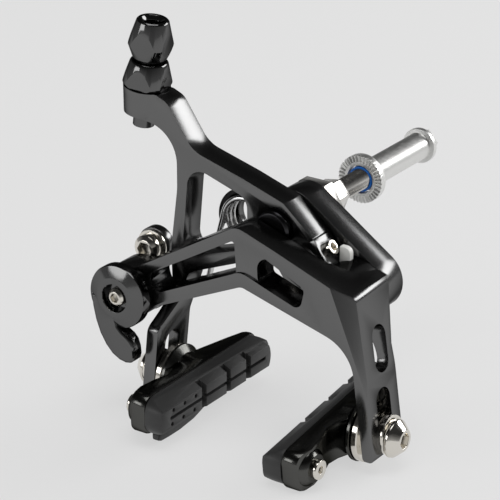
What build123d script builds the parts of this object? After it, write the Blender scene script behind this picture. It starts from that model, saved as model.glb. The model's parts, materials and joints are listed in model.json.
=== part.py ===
"""Dual pivot rim brake caliper, front brake, with its mounting bolt and pads.

Millimetres. X runs to the right as seen from the front, Y runs back along the
centre bolt towards the fork, Z is up. The pieces are drawn from the back face
of the bridge: a depth of 20 lies 20 mm ahead of it, at y = -20. They are saved
with the origin in the end face of the lock nut, where the fork's side begins.
"""
from build123d import *
from math import atan2, cos, degrees, hypot, radians, sin, tan
import os

# Centre bolt, side pivot and the depths of the stacked layers
bolt_r = 3.0                # M6 thread of the centre bolt
shoulder_r = 3.5            # plain part that the upper arm turns on
running_gap = 0.05          # radial clearance of a shaft in its bush
lock_nut_end = 12.3         # the lock nut ends this far behind the bridge
pivot_x = 21.0              # side pivot, right of the centre bolt
pivot_z = -15.3             # side pivot, below the centre bolt
pivot_boss_r = 8.6
bridge_depth = 9.0
thrust_washer_depth = 0.5
upper_arm_depth = 8.0
lower_arm_depth = 8.8
lower_arm_front = 29.5      # depth of the front faces of the lower arm and both pad legs
leg_depth = 15.0

# Reach, pad legs and pads
reach = 49.2                # pads' height below the centre bolt as stored
reach_travel = 9.5          # how far the pads slide up in their slots
leg_wall = 3.6
left_leg_x = -32.2          # inner face of the left leg at the pad bolt
right_leg_x = 35.0          # inner face of the right leg at the pad bolt
left_leg_lean = 6.0         # degrees that the legs lean outwards
right_leg_lean = 8.0
pad_y = -22.0               # the pad bolts lie this far in front of the fork
pad_pitch = 7.0             # degrees that the right pad is set nose down
pad_bolt_r = 3.0
slot_gap = 0.4              # side play of a pad bolt in its slot
pad_length = 54.0
pad_nose = 28.0             # part of the length that lies ahead of the bolt
pad_height = 11.0
pad_face_height = 6.5
washer_r = 6.5
seat_gap = 0.08             # clearance between the two halves of a dished washer pair

# Cable side
adjuster_top = (-42.35, 49.6)
adjuster_lean = 7.1         # degrees that the cable adjuster leans to the right
housing_r = 2.5             # bore for the cable housing
cable_r = 0.9
quick_release_x = -41.0
quick_release_z = -24.3
release_throw = 1.8         # the release's eccentric sits this far below its axis when closed
anchor_x = -43.6            # axis of the bolt that clamps the cable
anchor_z = -16.7

# Depths of the faces, worked out from the layers
upper_arm_back = bridge_depth + thrust_washer_depth
upper_arm_front = upper_arm_back + upper_arm_depth
lower_arm_back = lower_arm_front - lower_arm_depth
leg_back = lower_arm_front - leg_depth

os.makedirs("parts", exist_ok=True)


def layer(depth):
    """Front view plane at a depth ahead of the fork, X to the right and Z up."""
    return Plane.XZ.offset(depth)


def turned(outline, origin, along, across):
    """Round piece: outline points are (radius, distance along the axis)."""
    axis = Vector(*along).normalized()
    side = Vector(*across).normalized()
    plane = Plane(origin=origin, x_dir=side, z_dir=side.cross(axis))
    with BuildPart() as piece:
        with BuildSketch(plane):
            with BuildLine():
                Polyline(*outline, close=True)
            make_face()
        revolve(axis=Axis(origin, axis))
    return piece


def pipe(inner, outer, back, front, x=0, z=0):
    """Ring about an axis that runs from back to front."""
    with BuildPart() as piece:
        with BuildSketch(layer(back)):
            with Locations((x, z)):
                Circle(outer)
                Circle(inner, mode=Mode.SUBTRACT)
        extrude(amount=front - back)
    return piece


def save(piece, name):
    """STEP file of a piece, with the origin moved to the end face of the lock nut."""
    moved = piece.part.moved(Location((0, -lock_nut_end, 0)))
    moved.label = name
    export_step(moved, "parts/" + name + ".step")


# Bridge: the fixed plate that carries both pivots and the spring holder
bridge_boss_r = 7.9
holder_x, holder_z = -16.5, -5.0
holder_r = 8.6
holder_hole_r = 5.6
holder_plate = 2.2
side_bolt_r = 3.0
side_bolt_end = 23.5
side_head_r = 5.0
side_head_depth = 2.9
with BuildPart() as bridge:
    with BuildSketch(layer(0)):
        with BuildLine():
            CenterArc((0, 0), bridge_boss_r, 0, 360)
        make_face()
        with Locations((pivot_x, pivot_z)):
            Circle(pivot_boss_r - 0.1)
        make_hull()
        with Locations((holder_x / 2, holder_z / 2)):
            Rectangle(hypot(holder_x, holder_z), bridge_boss_r, rotation=degrees(atan2(holder_z, holder_x)))
        with Locations((holder_x, holder_z)):
            Circle(holder_r)
            Circle(holder_hole_r, mode=Mode.SUBTRACT)
        with Locations((0, 0)):
            Circle(shoulder_r, mode=Mode.SUBTRACT)
        with Locations((pivot_x, pivot_z)):
            Circle(side_bolt_r, mode=Mode.SUBTRACT)
    extrude(amount=bridge_depth)
    # the spring side is a thin plate, so the coil fits in front of it
    with BuildSketch(layer(bridge_depth)):
        with Locations((-bridge_boss_r - 0.4, holder_z)):
            Rectangle(30, 2 * holder_r + 10, align=(Align.MAX, Align.CENTER))
    extrude(amount=-(bridge_depth - holder_plate), mode=Mode.SUBTRACT)
    with BuildSketch(layer(0)):
        with Locations((pivot_x, pivot_z)):
            Circle(side_head_r)
    extrude(amount=side_head_depth, mode=Mode.SUBTRACT)
save(bridge, "bridge")

# Centre bolt: shoulder for the arms in front, M6 stud for the fork behind
bolt_front = 19.3
bolt_length_behind = 44.0
centre_bolt = turned(
    [
        (0, -bolt_front),
        (bolt_r, -bolt_front),
        (bolt_r, -upper_arm_front - 0.2),
        (shoulder_r, -upper_arm_front - 0.2),
        (shoulder_r, 0),
        (bolt_r, 0),
        (bolt_r, bolt_length_behind - 0.6),
        (bolt_r - 0.6, bolt_length_behind),
        (0, bolt_length_behind),
    ],
    (0, 0, 0),
    (0, 1, 0),
    (1, 0, 0),
)
save(centre_bolt, "centre_bolt")

# Cap nut that keeps the upper arm on the bolt
cap_r = 5.3
cap_front = 19.9
pivot_cap = turned(
    [
        (bolt_r, -upper_arm_front - 0.2),
        (cap_r, -upper_arm_front - 0.2),
        (cap_r, -cap_front + 0.7),
        (cap_r - 0.7, -cap_front),
        (0, -cap_front),
        (0, -bolt_front),
        (bolt_r, -bolt_front),
    ],
    (0, 0, 0),
    (0, 1, 0),
    (1, 0, 0),
)
save(pivot_cap, "pivot_cap")

upper_bush_r = 4.3
upper_arm_bush = pipe(shoulder_r + running_gap, upper_bush_r, upper_arm_back, upper_arm_front)
save(upper_arm_bush, "upper_arm_bush")

centre_thrust_washer = pipe(shoulder_r, 6.8, bridge_depth, upper_arm_back)
save(centre_thrust_washer, "centre_thrust_washer")

# Side pivot: bolt from behind, bush in the lower arm, washer between arm and bridge
side_bolt_body = turned(
    [
        (0, -side_bolt_end),
        (side_bolt_r, -side_bolt_end),
        (side_bolt_r, -side_head_depth),
        (side_head_r, -side_head_depth),
        (side_head_r, -0.9),
        (side_head_r - 0.6, -0.3),
        (0, -0.3),
    ],
    (pivot_x, 0, pivot_z),
    (0, 1, 0),
    (1, 0, 0),
)
with BuildPart() as side_pivot_bolt:
    add(side_bolt_body.part)
    with BuildSketch(layer(0)):
        with Locations((pivot_x, pivot_z)):
            RegularPolygon(radius=2.0, side_count=6, major_radius=False)
    extrude(amount=2.4, mode=Mode.SUBTRACT)
save(side_pivot_bolt, "side_pivot_bolt")

lower_bush_r = 4.2
lower_bush_end = 22.0
lower_arm_bush = pipe(side_bolt_r + running_gap, lower_bush_r, upper_arm_back, lower_bush_end, pivot_x, pivot_z)
save(lower_arm_bush, "lower_arm_bush")

side_thrust_washer = pipe(side_bolt_r, 8.0, bridge_depth, upper_arm_back, pivot_x, pivot_z)
save(side_thrust_washer, "side_thrust_washer")

# Hexagons on the stud behind the bridge: centring flats, then the lock nut
flats_across = 14.0
flats_depth = 4.2
with BuildPart() as centring_flats:
    with BuildSketch(layer(0)):
        RegularPolygon(radius=flats_across / 2, side_count=6, major_radius=False)
        Circle(bolt_r, mode=Mode.SUBTRACT)
    extrude(amount=-flats_depth)
save(centring_flats, "centring_flats")

lock_nut_across = 8.5
with BuildPart() as lock_nut:
    with BuildSketch(layer(-flats_depth)):
        RegularPolygon(radius=lock_nut_across / 2, side_count=6, major_radius=False, rotation=10)
        Circle(bolt_r, mode=Mode.SUBTRACT)
    extrude(amount=-(lock_nut_end - flats_depth))
save(lock_nut, "lock_nut")

# Toothed washer that bites into the front of the fork
star_washer_r = 7.0
star_washer_hole_r = 4.1
star_washer_y = 25.3
star_washer_depth = 2.5
star_washer_teeth = 36
tooth_depth = 0.5
with BuildPart() as star_washer:
    with BuildSketch(layer(-star_washer_y)):
        Circle(star_washer_r)
        Circle(star_washer_hole_r, mode=Mode.SUBTRACT)
    extrude(amount=-star_washer_depth)
    tooth_plane = Plane(origin=(0, star_washer_y, star_washer_r + 0.2), x_dir=(1, 0, 0), z_dir=(0, 0, 1))
    with BuildSketch(tooth_plane) as notch:
        with BuildLine():
            Polyline((-0.34, 0), (0.34, 0), (0, tooth_depth), close=True)
        make_face()
    notch_solid = extrude(notch.sketch, amount=-(star_washer_r - star_washer_hole_r - 0.7), mode=Mode.PRIVATE)
    for tooth in range(star_washer_teeth):
        add(notch_solid.rotate(Axis.Y, tooth * 360 / star_washer_teeth), mode=Mode.SUBTRACT)
save(star_washer, "star_washer")

# Sleeve nut that passes through the back of the fork, with its locking ring
sleeve_r = 4.0
sleeve_front = star_washer_y + star_washer_depth
sleeve_flange_y = 57.8
sleeve_flange_r = 5.2
sleeve_flange_depth = 1.6
sleeve_thread_end = 46.0
sleeve_end_depth = 2.0
thread_r = bolt_r + running_gap
sleeve_turned = turned(
    [
        (thread_r, sleeve_front),
        (sleeve_r, sleeve_front),
        (sleeve_r, sleeve_flange_y),
        (sleeve_flange_r, sleeve_flange_y),
        (sleeve_flange_r, sleeve_flange_y + sleeve_flange_depth),
        (0, sleeve_flange_y + sleeve_flange_depth),
        (0, sleeve_thread_end),
        (thread_r, sleeve_thread_end),
    ],
    (0, 0, 0),
    (0, 1, 0),
    (1, 0, 0),
)
with BuildPart() as sleeve_nut:
    add(sleeve_turned.part)
    with BuildSketch(layer(-sleeve_flange_y - sleeve_flange_depth)):
        RegularPolygon(radius=4.4, side_count=6, major_radius=False, rotation=12)
    extrude(amount=-sleeve_end_depth, taper=14)
    with BuildSketch(layer(-sleeve_flange_y - sleeve_flange_depth - sleeve_end_depth)):
        RegularPolygon(radius=2.5, side_count=6, major_radius=False)
    extrude(amount=6, mode=Mode.SUBTRACT)
save(sleeve_nut, "sleeve_nut")

locking_ring_r = 3.7
locking_ring_depth = 2.2
nut_locking_ring = pipe(thread_r, locking_ring_r, -sleeve_front, -sleeve_front + locking_ring_depth)
save(nut_locking_ring, "nut_locking_ring")

# Return spring: a free leg down to the left arm and a short fixed leg
wire_r = 0.9
coil_r = 6.5
coil_turns = 2.5
coil_pitch = 2.04
coil_back = 3.2
leg_turn = 165.5            # where on the coil the free leg leaves, in degrees
free_leg = 27.0
start_turn = radians(leg_turn - 360 * coil_turns)
coil_plane = Plane(
    origin=(holder_x, -coil_back, holder_z),
    x_dir=(cos(start_turn), 0, sin(start_turn)),
    z_dir=(0, -1, 0),
)
coil_path = coil_plane.from_local_coords(
    Helix(pitch=coil_pitch, height=coil_pitch * coil_turns, radius=coil_r)
)
leg_down = Vector(-sin(radians(leg_turn)), 0, cos(radians(leg_turn)))
with BuildPart() as return_spring:
    with BuildSketch(Plane(origin=coil_path @ 0, z_dir=coil_path % 0)):
        Circle(wire_r)
    sweep(path=coil_path, is_frenet=True)
    with BuildSketch(Plane(origin=coil_path @ 1, z_dir=leg_down)):
        Circle(wire_r)
    extrude(amount=free_leg)
save(return_spring, "return_spring")

# Nylon wall that holds the coil on the bridge's ring
holder_wall = 1.3
holder_wall_in = coil_r + wire_r + 0.4
with BuildPart() as spring_holder:
    with BuildSketch(layer(holder_plate)):
        with Locations((holder_x, holder_z)):
            Circle(holder_wall_in + holder_wall)
            Circle(holder_wall_in, mode=Mode.SUBTRACT)
            with BuildLine():
                Polyline((holder_x, holder_z), (holder_x - 6, holder_z + 18), (holder_x - 20, holder_z + 12),
                         (holder_x - 20, holder_z - 8), close=True)
            make_face(mode=Mode.INTERSECT)
    extrude(amount=5.0)
save(spring_holder, "spring_holder")

# Link between the arms: a grub screw in the upper arm bears on a seat in the lower arm
screw_r = 2.0
screw_length = 12.0
screw_head = (15.9, -3.2)
screw_turn = 35.0           # rise of the screw's axis to the right, in degrees
link_depth = upper_arm_back + upper_arm_depth / 2
screw_along = Vector(-cos(radians(screw_turn)), 0, -sin(radians(screw_turn)))
screw_plane = Plane(
    origin=(screw_head[0], -link_depth, screw_head[1]),
    x_dir=(0, 1, 0),
    z_dir=screw_along,
)
with BuildPart() as centring_screw:
    with BuildSketch(screw_plane):
        Circle(screw_r)
    extrude(amount=screw_length)
    with BuildSketch(screw_plane):
        RegularPolygon(radius=1.0, side_count=6, major_radius=False)
    extrude(amount=2.5, mode=Mode.SUBTRACT)
save(centring_screw, "centring_screw")


# place of the peg that the spring's free leg pushes on, to the left of the wire
peg_r = 1.3
peg_distance = wire_r + peg_r + 0.05
peg_z = -27.4
peg_along = (peg_z - (coil_path @ 1).Z) / leg_down.Z
peg_x = (coil_path @ 1).X + leg_down.X * peg_along - peg_distance / cos(radians(leg_turn - 180))


def screw_frame(along, across):
    """Front view point from distances along and across the link screw's axis."""
    turn = radians(screw_turn)
    return (along * cos(turn) - across * sin(turn), along * sin(turn) + across * cos(turn))


def down_leg(side, inner_x, lean, height):
    """Point on a leg's inner face at a height, side -1 is left and 1 is right."""
    return (inner_x + side * (-reach - height) * tan(radians(lean)), height)


# Upper arm: from the cable adjuster over the centre bolt, with the left pad leg
leg_bottom = -reach - 5.2
upper_boss_r = 6.9
boss_flat = 7.0
adjuster_along = Vector(-sin(radians(adjuster_lean)), 0, -cos(radians(adjuster_lean)))
adjuster_origin = Vector(adjuster_top[0], -link_depth, adjuster_top[1])
adjuster_boss_top = 19.4    # distance of the boss's top face below the adjuster's rim
adjuster_boss_r = 6.6
adjuster_boss_height = 7.7
barrel_r = 2.75
lug_length = 7.7
lug_width = 8.1
lug_face = 1.8              # the screw's head stands this far out of the lug
left_top = down_leg(-1, left_leg_x, left_leg_lean, -20.1)
left_foot = down_leg(-1, left_leg_x, left_leg_lean, leg_bottom)
left_wall = leg_wall / cos(radians(left_leg_lean))
left_knee = down_leg(-1, left_leg_x - left_wall, left_leg_lean, -31)
boss_plane = Plane(
    origin=adjuster_origin + adjuster_along * adjuster_boss_top,
    x_dir=(0, 1, 0),
    z_dir=adjuster_along,
)
slot_plane_left = Plane(
    origin=(left_leg_x, pad_y, -reach),
    x_dir=(0, -1, 0),
    z_dir=(-cos(radians(left_leg_lean)), 0, sin(radians(left_leg_lean))),
)
with BuildPart() as upper_arm:
    with BuildSketch(layer(0)):
        with BuildLine():
            FilletPolyline(
                (-40.0, 30.1),
                (-35.2, 28.2),
                (-26.95, 16.2),
                (-10.5, 11.6),
                (2.4, 7.4),
                (12.1, -0.9),
                (5.8, -5.4),
                (-0.2, -8.3),
                left_top,
                left_foot,
                (left_foot[0] - left_wall, left_foot[1]),
                left_knee,
                (-34.5, -14.0),
                (-32.2, 4.0),
                (-32.2, 20.4),
                (-47.0, 22.2),
                radius=[0, 5, 9, 12, 2, 0.5, 0, 0, 4, 1, 1.5, 20, 25, 20, 10.5, 0],
                close=True,
            )
        make_face()
        Circle(upper_boss_r)
        with BuildLine():
            FilletPolyline(
                (-28.3, 12.3),
                (-9.2, 6.1),
                (-9.0, -8.6),
                (-30.8, -15.5),
                radius=[5, 4, 3, 4],
                close=True,
            )
        make_face(mode=Mode.SUBTRACT)
    extrude(amount=lower_arm_front)
    with BuildSketch(Plane.YZ.offset(-60)):
        with BuildLine():
            FilletPolyline(
                (-upper_arm_back, 45),
                (-upper_arm_back, -22),
                (-leg_back, -32),
                (-leg_back, leg_bottom - 1),
                (-lower_arm_front, leg_bottom - 1),
                (-lower_arm_front, -33.6),
                (-upper_arm_front, -26.2),
                (-upper_arm_front, 45),
                radius=[0, 4, 4, 0, 0, 3, 3, 0],
                close=True,
            )
        make_face()
    extrude(amount=120, mode=Mode.INTERSECT)
    with BuildSketch(screw_plane.offset(lug_face)):
        Rectangle(upper_arm_depth, lug_width)
    extrude(amount=lug_length)
    with BuildSketch(boss_plane):
        Circle(adjuster_boss_r)
    extrude(amount=adjuster_boss_height, taper=6)
    with BuildSketch(boss_plane):
        Circle(barrel_r + running_gap)
    extrude(amount=14, mode=Mode.SUBTRACT)
    with BuildSketch(boss_plane):
        Circle(adjuster_boss_r + 1.2)
    extrude(amount=-8, mode=Mode.SUBTRACT)
    with BuildSketch(layer(6.2)):
        with Locations((peg_x, peg_z)):
            Circle(peg_r)
    extrude(amount=9, mode=Mode.SUBTRACT)
    with BuildSketch(screw_plane):
        Circle(screw_r + running_gap)
    extrude(amount=screw_length, mode=Mode.SUBTRACT)
    with BuildSketch(layer(0)):
        Circle(upper_bush_r)
    extrude(amount=40, mode=Mode.SUBTRACT)
    # flat on the boss, which the lower arm's finger swings up to
    with BuildSketch(layer(0)):
        with BuildLine():
            Polyline(
                screw_frame(-9.0, -boss_flat),
                screw_frame(1.6, -boss_flat),
                screw_frame(1.6, -17.0),
                screw_frame(-9.0, -17.0),
                close=True,
            )
        make_face()
    extrude(amount=upper_arm_front, mode=Mode.SUBTRACT)
    with BuildSketch(slot_plane_left.offset(-2)):
        with Locations((0, reach_travel / 2)):
            SlotCenterToCenter(reach_travel + 0.8, 2 * (pad_bolt_r + slot_gap), rotation=90)
    extrude(amount=leg_wall + 4, mode=Mode.SUBTRACT)
save(upper_arm, "upper_arm")

# Lower arm: from the quick release, in front of everything, to the side pivot and the right leg
arm_end_r = 8.0
journal_r = 3.5
finger_depth = upper_arm_depth - 0.6
finger_foot = -17.2
finger_heel = (2.0, -19.0)
finger_bend = -14.0
seat_depth = 1.5
seat_width = 4.6
seat_back = -2.9            # place of the seat's back, along the link screw's axis
seat_top = -9.7             # place of the seat's upper edge, across that axis
finger_back = -6.2
right_foot = down_leg(1, right_leg_x, right_leg_lean, leg_bottom)
right_wall = leg_wall / cos(radians(right_leg_lean))
right_knee = down_leg(1, right_leg_x + right_wall, right_leg_lean, -31.2)
right_crotch = down_leg(1, right_leg_x, right_leg_lean, -23.4)
slot_plane_right = Plane(
    origin=(right_leg_x, pad_y, -reach),
    x_dir=(0, 1, 0),
    z_dir=(cos(radians(right_leg_lean)), 0, sin(radians(right_leg_lean))),
)
edge_cut_gap = 0.6          # the leg's rear edge is cut away outside the pivot boss by this much
facet_plane = Plane(
    origin=(26.0, -lower_arm_front, -10.3),
    z_dir=(0.446, -0.875, 0.185),
)
leg_window_depth = 24.0
leg_window_up = 23.6        # centre of the leg's upper window above the pad bolt
leg_window_length = 6.5
leg_window_width = 6.4
with BuildPart() as lower_arm:
    with BuildSketch(layer(0)) as lower_outline:
        with BuildLine():
            FilletPolyline(
                (-42.5, -19.1),
                (-4.67, 3.19),
                (7.0, -0.8),
                (31.0, -9.6),
                right_knee,
                (right_foot[0] + right_wall, right_foot[1]),
                right_foot,
                right_crotch,
                (-3.0, -13.7),
                (-40.0, -30.4),
                radius=[4.5, 4.8, 20, 2.5, 40, 1.5, 1, 12, 3, 5.3],
                close=True,
            )
        make_face()
        with Locations((quick_release_x, quick_release_z)):
            Circle(arm_end_r)
    extrude(amount=lower_arm_front)
    # everything behind the plate goes, except the pivot boss and the leg
    with BuildSketch(Plane.XY.offset(-70)):
        with BuildLine():
            FilletPolyline(
                (-60, 5),
                (60, 5),
                (60, -upper_arm_back),
                (27.5, -upper_arm_back),
                (25.0, -lower_arm_front + 12.5),
                (17.0, -lower_arm_back),
                (-60, -lower_arm_back),
                radius=[0, 0, 0, 1, 4, 4, 0],
                close=True,
            )
        make_face()
    extrude(amount=90, mode=Mode.SUBTRACT)
    with BuildSketch(layer(upper_arm_back)):
        with Locations((pivot_x, pivot_z)):
            Circle(pivot_boss_r)
        add(lower_outline.sketch.moved(Location((0, -upper_arm_back, 0))), mode=Mode.INTERSECT)
    extrude(amount=lower_arm_back - upper_arm_back + 2)
    with BuildSketch(Plane.YZ.offset(-60)):
        with BuildLine():
            FilletPolyline(
                (-upper_arm_back, 30),
                (-upper_arm_back, -24.5),
                (-leg_back, -32.5),
                (-leg_back, leg_bottom - 1),
                (-lower_arm_front, leg_bottom - 1),
                (-lower_arm_front, 30),
                radius=[0, 4, 4, 0, 0, 0],
                close=True,
            )
        make_face()
    extrude(amount=120, mode=Mode.INTERSECT)
    # slanted facet at the front outer corner, and the leg's rear edge
    with BuildSketch(facet_plane):
        Rectangle(60, 60)
    extrude(amount=20, mode=Mode.SUBTRACT)
    with BuildSketch(Plane.YZ.offset(pivot_x + pivot_boss_r + edge_cut_gap)):
        with BuildLine():
            Polyline(
                (-upper_arm_back + 1, -5),
                (-upper_arm_back - 1.5, -12),
                (-leg_back, -26),
                (-leg_back, -40),
                (-upper_arm_back + 1, -40),
                close=True,
            )
        make_face()
    extrude(amount=20, mode=Mode.SUBTRACT)
    with BuildSketch(slot_plane_right.offset(-6)):
        with Locations((pad_y + leg_window_depth, leg_window_up)):
            SlotCenterToCenter(leg_window_length, leg_window_width, rotation=83)
    extrude(amount=leg_wall + 10, mode=Mode.SUBTRACT)
    # finger that carries the link's seat, behind the plate
    with BuildSketch(layer(link_depth - finger_depth / 2)):
        with BuildLine():
            Polyline(
                screw_frame(seat_back, seat_top),
                screw_frame(seat_back, finger_foot),
                screw_frame(finger_heel[0], finger_heel[1]),
                (pivot_x, pivot_z),
                (pivot_x - 4, pivot_z - 5),
                screw_frame(finger_back, finger_bend),
                screw_frame(finger_back, seat_top),
                close=True,
            )
        make_face()
    extrude(amount=finger_depth)
    with BuildSketch(layer(0)):
        with Locations((pivot_x, pivot_z)):
            Circle(lower_bush_r)
    extrude(amount=lower_bush_end, mode=Mode.SUBTRACT)
    with BuildSketch(layer(0)):
        with Locations((pivot_x, pivot_z)):
            Circle(side_bolt_r + 0.2)
    extrude(amount=side_bolt_end + 0.5, mode=Mode.SUBTRACT)
    with BuildSketch(layer(0)):
        with Locations((quick_release_x, quick_release_z)):
            Circle(journal_r + running_gap)
    extrude(amount=40, mode=Mode.SUBTRACT)
    with BuildSketch(slot_plane_right.offset(-2)):
        with Locations((0, reach_travel / 2)):
            SlotCenterToCenter(reach_travel + 0.8, 2 * (pad_bolt_r + slot_gap), rotation=90)
    extrude(amount=leg_wall + 4, mode=Mode.SUBTRACT)
    # shallow pocket and the two windows in it
    with BuildSketch(layer(lower_arm_front)):
        with BuildLine():
            FilletPolyline(
                (-33.2, -17.0),
                (-3.7, 0.12),
                (17.0, -9.65),
                (15.6, -16.0),
                (-3.35, -9.45),
                (-31.5, -22.7),
                radius=[2.4, 3, 1.6, 2.2, 5, 2.4],
                close=True,
            )
        make_face()
    extrude(amount=-1, mode=Mode.SUBTRACT)
    with BuildSketch(layer(lower_arm_front)):
        with BuildLine():
            FilletPolyline(
                (-33.2, -17.0),
                (-5.9, -1.3),
                (-5.2, -10.4),
                (-31.5, -22.7),
                radius=[2.4, 0.8, 0.8, 2.4],
                close=True,
            )
        make_face()
        with BuildLine():
            FilletPolyline(
                (1.2, -2.2),
                (17.0, -9.65),
                (15.6, -16.0),
                (1.6, -11.2),
                radius=[3.4, 1.6, 2.2, 1.5],
                close=True,
            )
        make_face()
    extrude(amount=-12, mode=Mode.SUBTRACT)
save(lower_arm, "lower_arm")

# Acetal seat that the screw pushes on
with BuildPart() as link_seat:
    with BuildSketch(layer(link_depth - 2.5)):
        with BuildLine():
            Polyline(
                screw_frame(seat_back, seat_top),
                screw_frame(seat_back + seat_depth, seat_top),
                screw_frame(seat_back + seat_depth, seat_top - seat_width),
                screw_frame(seat_back, seat_top - seat_width),
                close=True,
            )
        make_face()
    extrude(amount=5)
save(link_seat, "link_seat")

# Peg on the left leg that the spring's free leg pushes on
with BuildPart() as spring_peg:
    with BuildSketch(layer(6.2)):
        with Locations((peg_x, peg_z)):
            Circle(1.9)
    extrude(amount=0.8)
    with BuildSketch(layer(6.2)):
        with Locations((peg_x, peg_z)):
            Circle(peg_r)
    extrude(amount=9)
save(spring_peg, "spring_peg")

# Cable adjuster: knob with its barrel, and the lock ring below it
rim_r = 4.4
knob_r = 6.05
waist_r = 4.3
knob_end = 11.75
barrel_end = 30.9
adjuster_turned = turned(
    [
        (housing_r + 0.65, 0),
        (rim_r, 0),
        (knob_r, 6.7),
        (waist_r, knob_end),
        (barrel_r, knob_end),
        (barrel_r, barrel_end),
        (cable_r + 0.3, barrel_end),
        (cable_r + 0.3, 9),
        (housing_r, 9),
        (housing_r, 1.2),
    ],
    adjuster_origin,
    adjuster_along,
    (0, 1, 0),
)
rim_plane = Plane(origin=adjuster_origin, x_dir=(0, 1, 0), z_dir=adjuster_along)
with BuildPart() as cable_adjuster:
    add(adjuster_turned.part)
    with BuildSketch(rim_plane):
        RegularPolygon(radius=knob_r - 0.5, side_count=6, major_radius=False)
    extrude(amount=barrel_end, mode=Mode.INTERSECT)
save(cable_adjuster, "cable_adjuster")

ring_top_r = 5.15
ring_r = 6.9
ring_turned = turned(
    [
        (barrel_r + running_gap, knob_end + 0.2),
        (ring_top_r, knob_end + 0.2),
        (ring_r, 18.3),
        (ring_r - 0.7, adjuster_boss_top - 0.2),
        (barrel_r + running_gap, adjuster_boss_top - 0.2),
    ],
    adjuster_origin,
    adjuster_along,
    (0, 1, 0),
)
with BuildPart() as adjuster_lock_ring:
    add(ring_turned.part)
    with BuildSketch(rim_plane):
        RegularPolygon(radius=ring_r - 0.6, side_count=6, major_radius=False, rotation=12)
    extrude(amount=barrel_end, mode=Mode.INTERSECT)
save(adjuster_lock_ring, "adjuster_lock_ring")

# Quick release: the lever turns a shaft whose eccentric lifts the carrier of the cable's clamp bolt
lever_r = 9.2
lever_face_r = 5.8
lever_front = 35.5
lever_neck_r = 7.4
cup_r = 4.1
cup_depth = 1.8
lever_screw_r = 1.5
lever_screw_head_r = 2.7
lever_turned = turned(
    [
        (lever_screw_r, -lower_arm_front - 0.2),
        (lever_neck_r, -lower_arm_front - 0.2),
        (lever_neck_r, -lower_arm_front - 1.0),
        (lever_r - 0.3, -lower_arm_front - 1.6),
        (lever_r, -lever_front + 1.3),
        (lever_face_r, -lever_front),
        (cup_r, -lever_front),
        (cup_r, -lever_front + cup_depth),
        (lever_screw_r, -lever_front + cup_depth),
    ],
    (quick_release_x, 0, quick_release_z),
    (0, 1, 0),
    (1, 0, 0),
)
hook_back = lower_arm_front + 1.8
hook_front = lever_front - 0.3
with BuildPart() as release_lever:
    with BuildSketch(layer(hook_back)):
        with BuildLine():
            FilletPolyline(
                (-49.0, -25.0),
                (-45.3, -37.4),
                (-38.8, -43.6),
                (-34.1, -42.8),
                (-33.5, -40.0),
                (-35.7, -33.8),
                (-39.3, -32.8),
                (-35.9, -28.4),
                radius=[0, 9, 4, 0.8, 0.8, 1.2, 0.6, 0],
                close=True,
            )
        make_face()
    extrude(amount=hook_front - hook_back)
    with BuildSketch(layer(hook_back - 1)):
        with Locations((quick_release_x, quick_release_z)):
            Circle(lever_face_r - 1)
    extrude(amount=10, mode=Mode.SUBTRACT)
    add(lever_turned.part)
save(release_lever, "release_lever")

eccentric_back = 17.9
crank_back = 18.0
crank_front = 20.4
eccentric_r = 4.6
eccentric_z = quick_release_z - release_throw
release_screw_turned = turned(
    [
        (0, -eccentric_back - 4),
        (lever_screw_r, -eccentric_back - 4),
        (lever_screw_r, -lever_front + cup_depth),
        (lever_screw_head_r, -lever_front + cup_depth),
        (lever_screw_head_r - 0.1, -lever_front + 0.9),
        (lever_screw_head_r - 0.9, -lever_front + 0.2),
        (0, -lever_front + 0.1),
    ],
    (quick_release_x, 0, quick_release_z),
    (0, 1, 0),
    (1, 0, 0),
)
with BuildPart() as release_screw:
    add(release_screw_turned.part)
    with BuildSketch(layer(lever_front)):
        with Locations((quick_release_x, quick_release_z)):
            RegularPolygon(radius=1.25, side_count=6, major_radius=False)
    extrude(amount=-1.6, mode=Mode.SUBTRACT)
save(release_screw, "release_screw")

with BuildPart() as release_shaft:
    with BuildSketch(layer(eccentric_back)):
        with Locations((quick_release_x, eccentric_z)):
            Circle(eccentric_r)
    extrude(amount=crank_front + 0.1 - eccentric_back)
    with BuildSketch(layer(crank_front)):
        with Locations((quick_release_x, quick_release_z)):
            Circle(journal_r)
    extrude(amount=lower_arm_front + 0.2 - crank_front)
    with BuildSketch(layer(eccentric_back + 4)):
        with Locations((quick_release_x, quick_release_z)):
            Circle(lever_screw_r)
    extrude(amount=40, mode=Mode.SUBTRACT)
save(release_shaft, "release_shaft")

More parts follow.
